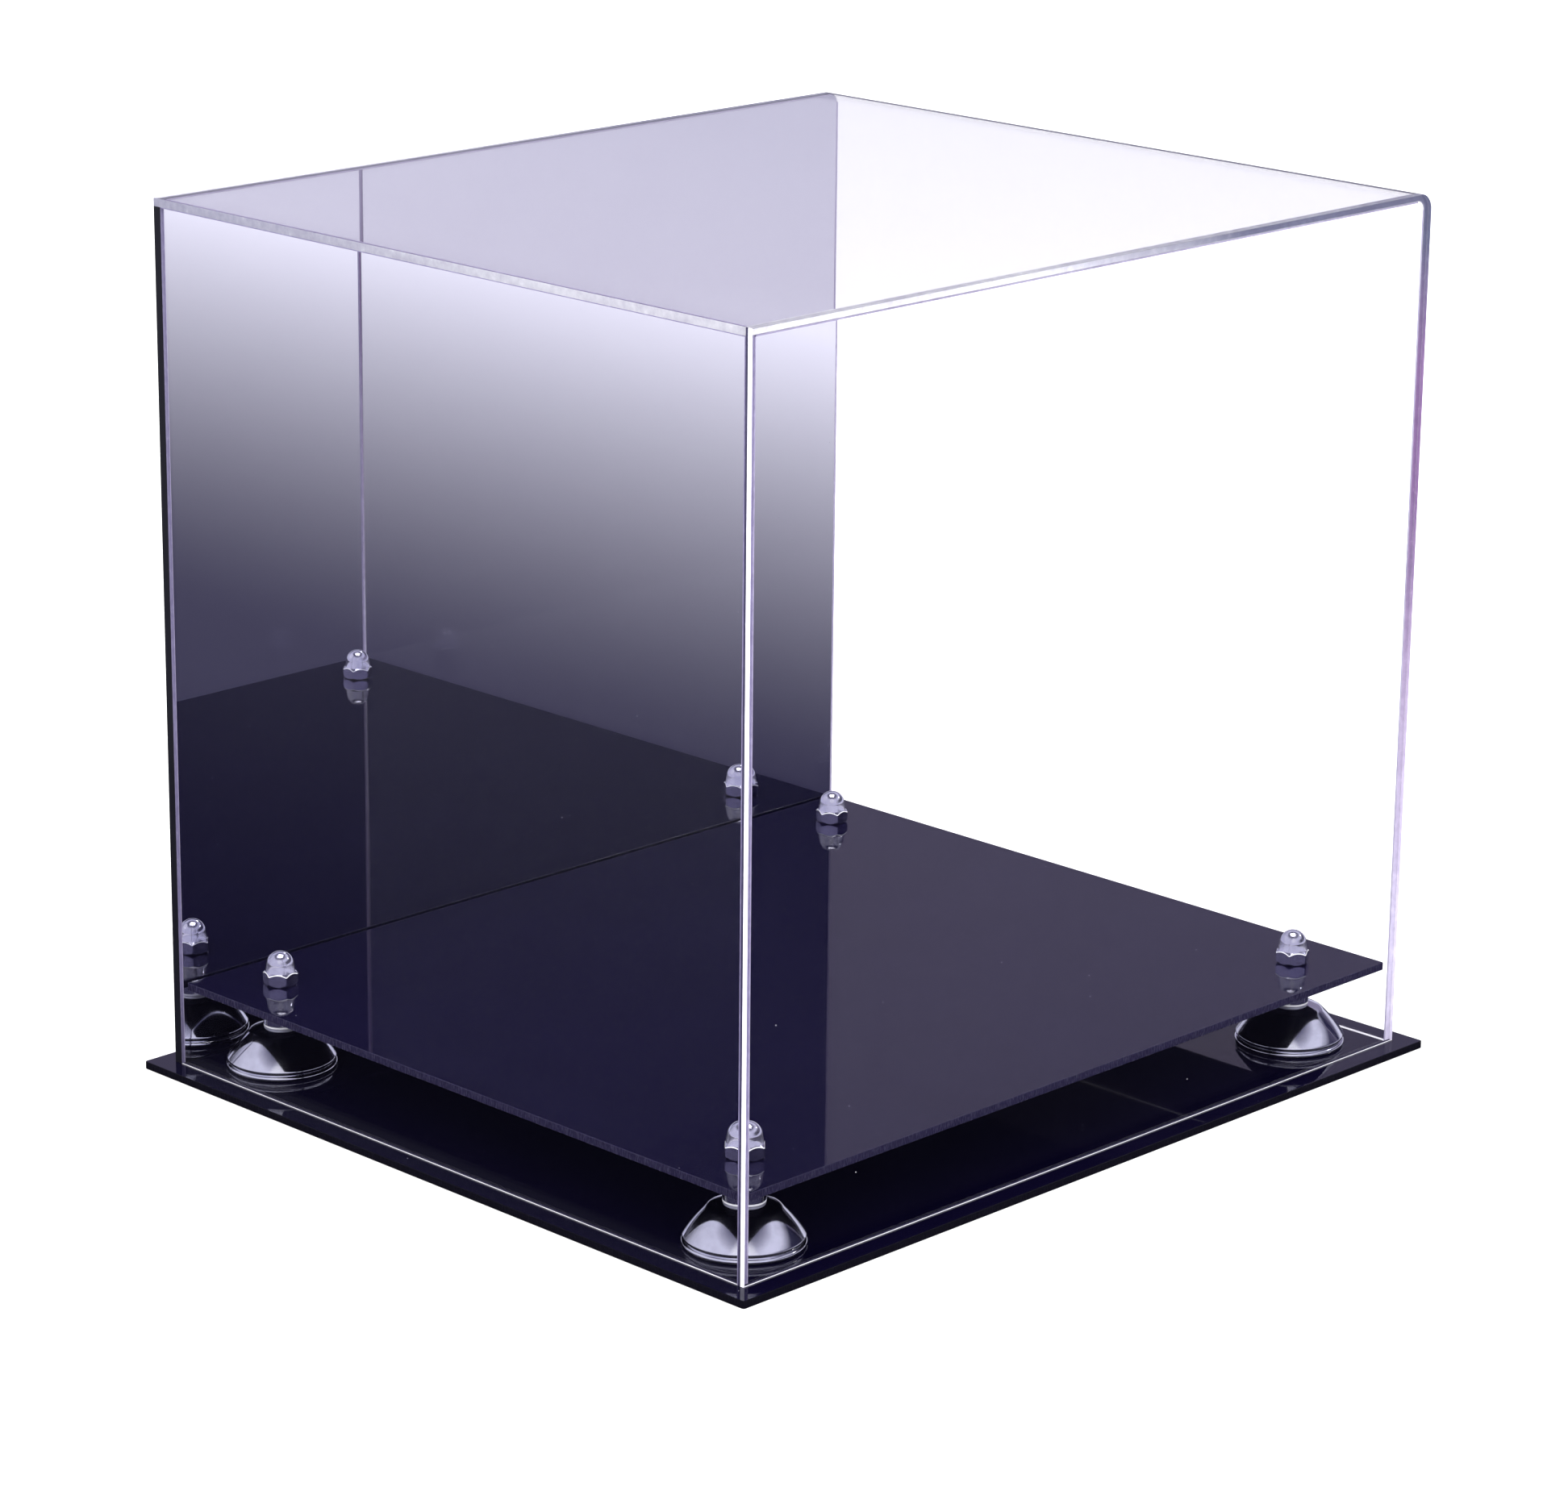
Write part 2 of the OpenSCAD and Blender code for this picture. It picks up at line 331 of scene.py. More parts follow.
def lit_edge(name, tint, glow, fades=()):
    """A polished edge of clear sheet, with painted light: its glow stands in for the light that
    comes out of the sheet, and its tint is painted light and shade.

    Each of the fades is (axis, start, end, tint), for an edge that changes along its length.
    """
    material, tree, shader = new_material(name)
    streaks = noise(tree, object_space(tree), 260.0, 4.0, 0.65)
    slow = noise(tree, object_space(tree), 18.0, 2.0)
    fine_share = math_node(tree, "MULTIPLY", streaks, 0.6)
    slow_share = math_node(tree, "MULTIPLY", slow, 0.4)
    level = math_node(tree, "ADD", fine_share, slow_share)
    shade = remap(tree, level, 0.36, 0.62, 0.0, 1.0)
    whole = (1.0, 1.0, 1.0)
    dimmed = (0.74, 0.72, 0.78)
    for axis, start, end, far_tint in fades:
        place = add(tree, "TexCoord")
        along = add(tree, "SeparateXYZ", {0: place.outputs["Object"]}).outputs[axis]
        tint = mix_colour(tree, remap(tree, along, start, end), tint, far_tint)
    colour = tinted(tree, mix_colour(tree, shade, dimmed, whole), tint)
    tree.links.new(colour, shader.inputs["Base Color"])
    tree.links.new(colour, shader.inputs["Emission Color"])
    # Painted glow: the edge gives off light though it is no lamp.
    shader.inputs["Emission Strength"].default_value = glow
    tree.links.new(remap(tree, streaks, 0.3, 0.7, 0.08, 0.3), shader.inputs["Roughness"])
    tree.links.new(bump(tree, streaks, 0.15, 0.00005), shader.inputs["Normal"])
    shader.inputs["IOR"].default_value = ACRYLIC_IOR
    inside = add(tree, "BsdfTranslucent", {"Color": colour})
    edge = add(
        tree,
        "MixShader",
        {0: 0.4, 1: shader.outputs[0], 2: inside.outputs[0]},
    )
    tree.links.new(edge.outputs[0], output_of(tree))
    return material


def mirror_film():
    """The silvered face of the mirror panel, with the slight waves of an acrylic mirror."""
    material, tree, shader = new_material("mirror_film")
    cloud = noise(tree, object_space(tree), 16.0, 4.0)
    specks = dust(tree, 130.0, 0.04, 0.03)
    tone = mix_colour(tree, cloud, (0.885, 0.885, 0.935), (0.92, 0.92, 0.96))
    tone = mix_colour(tree, math_node(tree, "MULTIPLY", specks, 0.5), tone, (0.4, 0.4, 0.45))
    tree.links.new(tone, shader.inputs["Base Color"])
    shader.inputs["Metallic"].default_value = 1.0
    film = remap(tree, cloud, 0.4, 0.7, 0.0, 0.02)
    rough = math_node(tree, "ADD", film, math_node(tree, "MULTIPLY", specks, 0.4), True)
    tree.links.new(rough, shader.inputs["Roughness"])
    wave = noise(tree, object_space(tree), 6.0, 1.0)
    tree.links.new(bump(tree, wave, 0.08, 0.0004), shader.inputs["Normal"])
    return material


def mirror_paint():
    """The black protective paint on the mirror's back and edges."""
    material, tree, shader = new_material("mirror_back_paint")
    peel = noise(tree, object_space(tree), 900.0, 3.0, 0.6)
    cloud = noise(tree, object_space(tree), 30.0, 4.0)
    tone = mix_colour(tree, cloud, (0.003, 0.003, 0.006), (0.007, 0.007, 0.011))
    tree.links.new(tone, shader.inputs["Base Color"])
    tree.links.new(remap(tree, cloud, 0.3, 0.7, 0.30, 0.46), shader.inputs["Roughness"])
    tree.links.new(bump(tree, peel, 0.35, 0.00006), shader.inputs["Normal"])
    shader.inputs["Specular IOR Level"].default_value = 0.12
    return material


def turned_metal(name, light, dark, rough, ring_scale, metallic=1.0):
    """Metal with turning rings round its own axis and a few smudges.

    What metallic leaves over scatters light as a pale diffuse share: painted light that stands in
    for bright reflections.
    """
    material, tree, shader = new_material(name)
    place = add(tree, "TexCoord")
    parts = add(tree, "SeparateXYZ", {0: place.outputs["Object"]})
    outwards = add(tree, "CombineXYZ", {0: parts.outputs[0], 1: parts.outputs[1]})
    radius = add(tree, "VectorMath", {0: outwards.outputs[0]}, operation="LENGTH")
    rings = add(tree, "CombineXYZ", {0: radius.outputs["Value"], 2: parts.outputs[2]})
    grooves = noise(tree, rings.outputs[0], ring_scale, 2.0)
    smudge = noise(tree, object_space(tree), 95.0, 4.0, 0.6)
    tone = mix_colour(tree, remap(tree, smudge, 0.35, 0.7), light, dark)
    tree.links.new(tone, shader.inputs["Base Color"])
    shader.inputs["Metallic"].default_value = metallic
    level = remap(tree, smudge, 0.35, 0.75, rough, rough * 2.2)
    level = math_node(tree, "ADD", level, remap(tree, grooves, 0.3, 0.7, 0.0, 0.03))
    tree.links.new(level, shader.inputs["Roughness"])
    tree.links.new(bump(tree, grooves, 0.08, 0.00002), shader.inputs["Normal"])
    return material


def pale_floor():
    """White paper. Seen in reflections it is painted: a dark band of painted shade from front to
    back, and brighter paper beside it.
    """
    material, tree, shader = new_material("pale_floor")
    cloud = noise(tree, object_space(tree), 3.0, 5.0)
    paper = mix_colour(tree, cloud, (0.87, 0.87, 0.875), (0.89, 0.89, 0.89))
    place = add(tree, "TexCoord")
    across = add(tree, "SeparateXYZ", {0: place.outputs["Object"]}).outputs[0]
    aside = math_node(tree, "ABSOLUTE", across)
    far = math_node(tree, "POWER", remap(tree, aside, 0.27, 1.04), 1.6)
    # Painted shade and painted light, used only for what polished things reflect.
    shaded = mix_colour(tree, far, (0.034, 0.031, 0.062), (0.98, 0.97, 0.98))
    path = add(tree, "LightPath")
    seen_in_gloss = math_node(tree, "GREATER_THAN", path.outputs["Glossy Depth"], 0.5)
    tone = mix_colour(tree, seen_in_gloss, paper, shaded)
    tree.links.new(tone, shader.inputs["Base Color"])
    shader.inputs["Roughness"].default_value = 0.9
    shader.inputs["Specular IOR Level"].default_value = 0.1
    return material


GLOSS_BLACK = gloss_black()
BASE_EDGE = cut_black("base_plate_edge", (0.002, 0.0018, 0.004), (0.005, 0.0045, 0.008), 0.03)
SHELF_EDGE = cut_black("shelf_edge", (0.008, 0.007, 0.020), (0.019, 0.016, 0.040), 0.15)
CLEAR = clear_acrylic("clear_acrylic", (0.985, 0.983, 0.995))
# The heat bend carries painted shade: a dark tint on the clear sheet where it is bent.
BEND_PAINTED_SHADE = clear_acrylic("bent_acrylic_painted_shade", (0.10, 0.10, 0.12))
# Lit and shaded copies of one polished edge: their tints and glows are painted light and painted
# shade.
EDGE_BRIGHT = lit_edge("lit_edge_bright", (0.94, 0.94, 0.97), 0.75)
EDGE_SOFT = lit_edge("lit_edge_soft", (0.26, 0.235, 0.38), 0.08)
EDGE_PAINTED_SHADE = lit_edge("edge_painted_shade", (0.045, 0.040, 0.085), 0.0)
# Along the top of the left wall, painted light: lilac-grey at the mirror, pale at the near corner
EDGE_LEFT_TOP = lit_edge(
    "lit_edge_left_top",
    (0.43, 0.43, 0.47),
    0.30,
    [(1, -0.10, 0.12, (0.25, 0.25, 0.31))],
)
# Along the front, painted light: pale at the near corner, blue-violet at the bend, lilac down the
# right
EDGE_FRONT = lit_edge(
    "lit_edge_front",
    (0.80, 0.80, 0.86),
    0.40,
    [
        (0, -0.06, 0.08, (0.10, 0.105, 0.175)),
        (2, 0.345, 0.29, (0.20, 0.115, 0.25)),
        (2, 0.24, 0.05, (0.62, 0.58, 0.72)),
    ],
)
EDGE_FRONT_TOP = lit_edge(
    "lit_edge_front_top",
    (0.33, 0.33, 0.36),
    0.28,
    [(0, -0.05, 0.16, (0.20, 0.20, 0.25))],
)
# The cement's lilac tint and glow are painted light.
CEMENT_PAINTED_GLOW = lit_edge("solvent_cement_painted_glow", (0.50, 0.46, 0.62), 0.15)
MIRROR_FILM = mirror_film()
MIRROR_PAINT = mirror_paint()
RISER_METAL = turned_metal(
    "polished_riser_metal", (0.80, 0.80, 0.86), (0.66, 0.66, 0.72), 0.05, 2200.0
)
# Near-white, mostly diffuse metal: a painted highlight on the nuts' band and the collars' feet.
PAINTED_HIGHLIGHT_METAL = turned_metal(
    "painted_highlight_metal", (0.97, 0.97, 0.99), (0.88, 0.88, 0.92), 0.14, 2200.0, 0.30
)
# The dome's small diffuse share and lavender tone are painted light, the pale tone of its
# reflections.
NUT_METAL = turned_metal(
    "polished_nut_metal", (0.62, 0.61, 0.71), (0.48, 0.47, 0.57), 0.05, 1800.0, 0.94
)
# Painted shade and painted reflection: a darker, violet copy of the nut metal gives the flats the
# blue tone of what they reflect.
NUT_FLAT_PAINTED_TONE = turned_metal(
    "nut_flat_painted_tone", (0.50, 0.47, 0.74), (0.40, 0.37, 0.60), 0.12, 1800.0
)
SCREW_METAL = turned_metal(
    "plated_screw_metal", (0.55, 0.56, 0.60), (0.42, 0.43, 0.47), 0.22, 1500.0
)


# ---------------------------------------------------------------- mesh making

def arc(centre, radius, start, end, steps):
    """Points of an arc in a plane, with angles in degrees."""
    points = []
    for i in range(steps + 1):
        a = math.radians(start + (end - start) * i / steps)
        points.append((centre[0] + radius * math.cos(a), centre[1] + radius * math.sin(a)))
    return points


def inset(points, distance):
    """The closed outline moved inwards. The outline runs anticlockwise."""
    moved = []
    count = len(points)
    for i, point in enumerate(points):
        here = Vector(point)
        before = (here - Vector(points[i - 1])).normalized()
        after = (Vector(points[(i + 1) % count]) - here).normalized()
        inward_before = Vector((-before.y, before.x))
        inward_after = Vector((-after.y, after.x))
        middle = (inward_before + inward_after).normalized()
        moved.append(here + middle * (distance / max(middle.dot(inward_after), 0.2)))
    return moved


def bridge(bm, lower, upper, materials, smooth=True):
    """Quads between two closed loops of vertices; materials is one index or one per side."""
    count = len(lower)
    for i in range(count):
        j = (i + 1) % count
        face = bm.faces.new((lower[i], lower[j], upper[j], upper[i]))
        face.material_index = materials[i] if isinstance(materials, list) else materials
        face.smooth = smooth


def cap(bm, loops, material):
    """A flat face inside the first loop, with the other loops as holes."""
    if len(loops) == 1:
        faces = [bm.faces.new(loops[0])]
    else:
        edges = []
        for loop in loops:
            edges += [bm.edges.get((loop[i - 1], loop[i])) for i in range(len(loop))]
        filled = bmesh.ops.triangle_fill(bm, edges=edges, use_beauty=True, use_dissolve=False)
        faces = [f for f in filled["geom"] if isinstance(f, bmesh.types.BMFace)]
    for face in faces:
        face.material_index = material
        face.smooth = False


def sheet_mesh(bm, outline, place, near, far, sides, face_slot=0, holes=(), split=None):
    """A sheet with rounded edges: outline in its own plane, thick from near to far.

    place turns (u, v, w) into a point, sides is the material of each side of the outline,
    and a hole is a list of (level, loop) pairs from near to far. split is a level between
    near and far and the materials of the sides beyond it. The rounding of a clear side
    and the wall of a hole have the second material.
    """
    edge_slot = 1
    rows = []
    for i in range(EDGE_STEPS + 1):
        a = math.radians(90 * i / EDGE_STEPS)
        rows.append((EDGE_ROUND * (1 - math.sin(a)), EDGE_ROUND * (1 - math.cos(a))))
    levels = [(near + depth, inwards) for inwards, depth in rows]
    if split:
        levels.append((split[0], 0))
    levels += [(far - depth, inwards) for inwards, depth in reversed(rows)]
    loops = [
        [bm.verts.new(place(p[0], p[1], level)) for p in inset(outline, inwards)]
        for level, inwards in levels
    ]
    middle = len(rows) - 1
    for i in range(len(loops) - 1):
        slots = split[1] if split and i > middle else sides
        level_side = i == middle or (split and i == middle + 1)
        if not level_side:
            slots = [max(s, edge_slot) for s in slots]
        bridge(bm, loops[i], loops[i + 1], slots, smooth=not level_side)
    near_loops, far_loops = [loops[0]], [loops[-1]]
    for hole in holes:
        rings = [[bm.verts.new(place(p[0], p[1], level)) for p in loop] for level, loop in hole]
        for lower, upper in zip(rings, rings[1:]):
            bridge(bm, lower, upper, edge_slot)
        near_loops.append(rings[0])
        far_loops.append(rings[-1])
    cap(bm, near_loops, face_slot)
    cap(bm, far_loops, face_slot)


def turned_mesh(bm, profile, foot):
    """A ring turned from a closed profile of (radius, height) points.

    Everything lower than foot has the second material.
    """
    rings = []
    for radius, height in profile:
        ring = []
        for i in range(TURNED_SEGMENTS):
            a = 2 * math.pi * i / TURNED_SEGMENTS
            ring.append(bm.verts.new((radius * math.cos(a), radius * math.sin(a), height)))
        rings.append(ring)
    for lower, upper in zip(rings, rings[1:] + rings[:1]):
        bridge(bm, lower, upper, 1 if max(lower[0].co.z, upper[0].co.z) < foot else 0)


def finish_mesh(bm, name):
    """Makes the mesh from bm, with outward normals and sharp edges where they belong."""
    bmesh.ops.recalc_face_normals(bm, faces=bm.faces)
    for edge in bm.edges:
        if len(edge.link_faces) == 2:
            edge.smooth = edge.calc_face_angle(0.0) < SHARP_ANGLE
    mesh = bpy.data.meshes.new(name)
    bm.to_mesh(mesh)
    bm.free()
    return mesh


def piece(name, mesh, materials, body, nodes=(), location=(0, 0, 0), turn=0.0):
    """Puts a mesh in the scene as a piece of the object."""
    made = bpy.data.objects.new(name, mesh)
    bpy.context.scene.collection.objects.link(made)
    if not mesh.materials:
        for material in materials:
            mesh.materials.append(material)
    made.location = location
    made.rotation_euler = (0, 0, math.radians(turn))
    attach(made, body)
    if nodes:
        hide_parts(*nodes)
    return made


# --------------------------------------------------------------- black sheets

def rounded_rectangle(lo, hi, radius):
    """The outline of a plate with round corners, anticlockwise."""
    points = []
    for x, y, start in (
        (hi.x - radius, lo.y + radius, -90),
        (hi.x - radius, hi.y - radius, 0),
        (lo.x + radius, hi.y - radius, 90),
        (lo.x + radius, lo.y + radius, 180),
    ):
        points += arc((x, y), radius, start, start + 90, PLATE_CORNER_STEPS)
    return points


def circle(centre, radius):
    points = []
    for i in range(HOLE_SEGMENTS):
        a = 2 * math.pi * i / HOLE_SEGMENTS
        points.append((centre.x + radius * math.cos(a), centre.y + radius * math.sin(a)))
    return points


def flat(u, v, w):
    """A plate's own directions: its plane is level."""
    return (u, v, w)


def riser_axis(corner):
    lo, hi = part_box("riser_bell_" + corner)
    return (lo + hi) / 2


def black_plate(node, edge, countersunk):
    """The base plate or the shelf, with its four screw holes."""
    lo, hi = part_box(node)
    outline = rounded_rectangle(lo, hi, PLATE_CORNER)
    cone_height = SCREW_HEAD_RADIUS - CLEARANCE_RADIUS
    holes = []
    for corner in CORNERS:
        axis = riser_axis(corner)
        bore = circle(axis, CLEARANCE_RADIUS)
        hole = [(lo.z, bore), (hi.z, bore)]
        if countersunk:
            mouth = circle(axis, SCREW_HEAD_RADIUS)
            hole = [(lo.z, mouth), (lo.z + cone_height, bore), (hi.z, bore)]
        holes.append(hole)
    bm = bmesh.new()
    sheet_mesh(bm, outline, flat, lo.z, hi.z, [1] * len(outline), holes=holes)
    name = node if node.startswith("base") else "raised_" + node
    mesh = finish_mesh(bm, name)
    piece(name + "_sheet", mesh, (GLOSS_BLACK, edge), "base", (node,))


# --------------------------------------------------------------------- risers

def cubic(a, b, c, d, u):
    """A point of a cubic curve with the end points a and d."""
    v = 1 - u
    return a * v ** 3 + b * (3 * v * v * u) + c * (3 * v * u * u) + d * u ** 3


def bell_profile(lo, hi):
    """Half the section of a bell: a rolled rim, a shoulder, a flared cone and a crown."""
    height = hi.z - lo.z
    outer = (hi.x - lo.x) / 2
    roll = outer - BELL_ROLL
    shoulder = Vector((outer - BELL_SIDE_STEP - SHOULDER_RADIUS, SHOULDER_HEIGHT))
    lean = Vector((math.cos(SHOULDER_LEAN), math.sin(SHOULDER_LEAN)))
    foot = shoulder + lean * SHOULDER_RADIUS
    crown_centre = CROWN - Vector((1, 1)).normalized() * CROWN_RADIUS
    cone = CROWN - foot
    flare = foot + Vector((cone.x * FLARE_HANDLE[0], cone.y * FLARE_HANDLE[1]))
    neck = CROWN - Vector((cone.x * NECK_HANDLE[0], cone.y * NECK_HANDLE[1]))
    points = [(CLEARANCE_RADIUS, 0), (roll - 0.2 * MM, 0)]
    points += arc((roll, BELL_ROLL), BELL_ROLL, -85, 80, 18)
    points += arc(shoulder, SHOULDER_RADIUS, 0, 30, 6)
    for i in range(CONE_STEPS + 1):
        point = cubic(foot, flare, neck, CROWN, i / CONE_STEPS)
        points.append((point.x, point.y))
    points += arc(crown_centre, CROWN_RADIUS, 47, 72, 10)
    points.append((CROWN_TOP_RADIUS, height))
    points.append((CLEARANCE_RADIUS, height))
    return points


def collar_profile(lo, hi):
    """Half the section of a collar, a sleeve with rounded ends."""
    height = hi.z - lo.z
    outer = (hi.x - lo.x) / 2
    inner = outer - COLLAR_EDGE
    points = [(CLEARANCE_RADIUS, 0), (inner, 0)]
    points += arc((inner, COLLAR_EDGE), COLLAR_EDGE, -90, 0, 6)[1:]
    points.append((outer, COLLAR_FOOT))
    points += arc((inner, height - COLLAR_EDGE), COLLAR_EDGE, 0, 90, 6)
    points.append((CLEARANCE_RADIUS, height))
    return points


def turned_part(kind, profile_of, materials, foot=0.0):
    """One part of the risers at each corner; all four share one mesh."""
    lo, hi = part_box(f"{kind}_{CORNERS[0]}")
    bm = bmesh.new()
    turned_mesh(bm, profile_of(lo, hi), foot)
    mesh = finish_mesh(bm, kind)
    for corner in CORNERS:
        node = f"{kind}_{corner}"
        axis = riser_axis(corner)
        place = (axis.x, axis.y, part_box(node)[0].z)
        name = "turned_" + node
        piece(name, mesh, materials, "base", (node,), place)


# ------------------------------------------------------------------ fasteners

def hexagon_radius(flats, angle):
    """Distance from a hexagon's middle to its side at an angle in radians."""
    sector = math.pi / 3
    return flats / 2 / math.cos((angle + sector / 2) % sector - sector / 2)


def nut_mesh(height):
    """A cap nut: a hexagon with cut corners and a dome, with a blind bore."""
    flat_radius = NUT_FLATS / 2
    edge = NUT_EDGE
    corner_limit = flat_radius / math.cos(math.pi / 6) - edge
    bm = bmesh.new()

    def ring(radius_at, height_at):
        made = []
        for i in range(TURNED_SEGMENTS):
            a = 2 * math.pi * i / TURNED_SEGMENTS
            r = radius_at(a)
            made.append(bm.verts.new((r * math.cos(a), r * math.sin(a), height_at(r))))
        return made

    def hexagon(a):
        return min(hexagon_radius(NUT_FLATS, a + math.pi / 6), corner_limit)

    def level(z):
        return lambda r: z

    def fixed(r):
        return lambda a: r

    def cut(r):
        """Height of the cone that cuts the hexagon's upper corners."""
        return NUT_HEX_HEIGHT - (r - NUT_DOME_FOOT)

    # From the bore over the hexagon to the small fillet at the foot of the dome
    rings = [
        ring(fixed(SCREW_RADIUS), level(0)),
        ring(fixed(flat_radius - 2 * edge), level(0)),
        ring(lambda a: hexagon(a) - edge, lambda r: max(r - flat_radius + 2 * edge, 0)),
        ring(hexagon, lambda r: max(r - flat_radius + edge, 0) + 2 * edge),
        ring(hexagon, lambda r: cut(r) - 2 * NUT_HIGHLIGHT_BAND),
        ring(lambda a: hexagon(a) - NUT_HIGHLIGHT_BAND, cut),
        ring(fixed(NUT_DOME_FOOT + 0.06 * MM), level(NUT_HEX_HEIGHT - 0.06 * MM)),
        ring(fixed(NUT_DOME_FOOT - 0.02 * MM), level(NUT_HEX_HEIGHT + 0.1 * MM)),
    ]
    dome_height = height - NUT_DOME_RADIUS
    for r, z in arc((0, dome_height), NUT_DOME_RADIUS, NUT_DOME_LEAN, 88, 30):
        rings.append(ring(fixed(r), level(z)))
    # Places in this piece's list of materials
    dome_finish, flat_finish, painted_highlight_finish = 0, 1, 2
    # The rows between the rings: the flats, the band over them with its painted highlight, and the
    # cut corners
    flats, highlight_band_row, cut_corners = 3, 4, 5
    for i in range(len(rings) - 1):
        finish = flat_finish if i <= flats else dome_finish
        if i == highlight_band_row:
            finish = painted_highlight_finish
        smooth = i not in (flats, highlight_band_row, cut_corners)
        bridge(bm, rings[i], rings[i + 1], finish, smooth=smooth)
    top = bm.verts.new((0, 0, height))
    for i in range(TURNED_SEGMENTS):
        face = bm.faces.new((rings[-1][i - 1], rings[-1][i], top))
        face.smooth = True
    inner = ring(fixed(SCREW_RADIUS), level(NUT_HOLE_DEPTH))
    bridge(bm, inner, rings[0], dome_finish)
    bm.faces.new(inner)
    return finish_mesh(bm, "cap_nut")


def cap_nuts():
    lo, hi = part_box("cap_nut_" + CORNERS[0])
    mesh = nut_mesh(hi.z - lo.z)
    for corner in CORNERS:
        node = "cap_nut_" + corner
        axis = riser_axis(corner)
        place = (axis.x, axis.y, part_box(node)[0].z)
        piece(
            "domed_" + node,
            mesh,
            (NUT_METAL, NUT_FLAT_PAINTED_TONE, PAINTED_HIGHLIGHT_METAL),
            "base",
            (node,),
            place,
            NUT_TURNS[corner],
        )


def screw_mesh(length):
    """A countersunk screw with a hexagon socket and a real helical thread."""
    cone = SCREW_HEAD_RADIUS - SCREW_RADIUS
    plain_end = cone + THREAD_START
    bm = bmesh.new()

    def ring(radius_at, z):
        made = []
        for i in range(SCREW_SEGMENTS):
            a = 2 * math.pi * i / SCREW_SEGMENTS
            r = radius_at(a)
            made.append(bm.verts.new((r * math.cos(a), r * math.sin(a), z)))
        return made

    def thread(z):
        def radius(a):
            phase = (z / SCREW_PITCH - a / (2 * math.pi)) % 1.0
            run_in = min((z - plain_end) / SCREW_PITCH, 1.0)
            run_out = min((length - z) / THREAD_RUN_OUT, 1.0)
            cut = THREAD_DEPTH * (1 - abs(2 * phase - 1)) * max(run_in, 0.0)
            chamfer = (1 - run_out) * THREAD_DEPTH
            return SCREW_RADIUS - max(cut, chamfer)

        return radius

    def socket(a):
        return hexagon_radius(SOCKET_FLATS, a)

    # From the socket's floor over the head to the end of the plain shank
    rings = [
        ring(socket, SOCKET_DEPTH),
        ring(socket, 0),
        ring(lambda a: SCREW_HEAD_RADIUS - SCREW_HEAD_EDGE, 0),
        ring(lambda a: SCREW_HEAD_RADIUS - SCREW_HEAD_EDGE / 2, SCREW_HEAD_EDGE * 1.5),
        ring(lambda a: SCREW_RADIUS, cone),
        ring(lambda a: SCREW_RADIUS, plain_end),
    ]
    rows = int((length - plain_end) / SCREW_PITCH * THREAD_ROWS_PER_TURN)
    for i in range(1, rows + 1):
        z = plain_end + (length - plain_end) * i / rows
        rings.append(ring(thread(z), z))
    for lower, upper in zip(rings, rings[1:]):
        bridge(bm, lower, upper, 0)
    bm.faces.new(rings[0])
    bm.faces.new(rings[-1])
    return finish_mesh(bm, "riser_screw")


def riser_screws():
    lo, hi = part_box("riser_screw_" + CORNERS[0])
    mesh = screw_mesh(hi.z - lo.z)
    for corner in CORNERS:
        node = "riser_screw_" + corner
        axis = riser_axis(corner)
        place = (axis.x, axis.y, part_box(node)[0].z)
        name = "threaded_" + node
        piece(name, mesh, (SCREW_METAL,), "base", (node,), place)


# ---------------------------------------------------------------------- cover

def upright(u, v, w):
    """Directions of a panel that faces the front: across, up and back."""
    return (u, w, v)


def sideways(u, v, w):
    """Directions of a panel that faces the side: back, up and across."""
    return (w, u, v)


def wall_outline(left, right, bottom, top, radius):
    """A panel with a round upper right corner, with the corner's steps at the end."""
    return [(left, top), (left, bottom), (right, bottom)] + arc(
        (right - radius, top - radius), radius, 0, 90, CORNER_STEPS
    )


def front_panel():
    lo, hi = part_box("cover_front_panel")
    bottom = lo.z + JOINT_GAP
    outline = wall_outline(lo.x, hi.x, bottom, hi.z, BEND_RADIUS)
    # Places in this piece's list of materials
    bright, right, dark, top = 1, 2, 3, 4
    # The left edge, the lower edge, and the others from the right edge to the top edge
    others = [right] * (len(outline) - 3) + [top]
    sides = [bright, bright] + others
    # The left and lower edges have painted shade at the back, away from the lit strip.
    beyond = [dark, dark] + others
    bm = bmesh.new()
    sheet_mesh(
        bm,
        outline,
        upright,
        lo.y,
        hi.y - JOINT_GAP,
        sides,
        split=(lo.y + LIT_STRIP, beyond),
    )
    piece(
        "front_panel",
        finish_mesh(bm, "front_panel"),
        (CLEAR, EDGE_BRIGHT, EDGE_FRONT, EDGE_PAINTED_SHADE, EDGE_FRONT_TOP),
        "cover",
        ("cover_front_panel",),
    )


def left_panel():
    lo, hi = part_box("cover_left_panel")
    back, front = hi.y - JOINT_GAP, lo.y + JOINT_GAP
    bottom, top = lo.z + JOINT_GAP, hi.z - JOINT_GAP
    outline = [(front, bottom), (back, bottom), (back, top), (front, top)]
    # Places in this piece's list of materials
    bright, soft, dark = 1, 2, 3
    sides = [bright, soft, soft, soft]
    # The lower edge has painted shade at the inside, away from the lit strip.
    split = (lo.x + LIT_STRIP, [dark, soft, soft, soft])
    bm = bmesh.new()
    sheet_mesh(bm, outline, sideways, lo.x, hi.x, sides, split=split)
    piece(
        "left_panel",
        finish_mesh(bm, "left_panel"),
        (CLEAR, EDGE_BRIGHT, EDGE_SOFT, EDGE_PAINTED_SHADE),
        "cover",
        ("cover_left_panel",),
    )


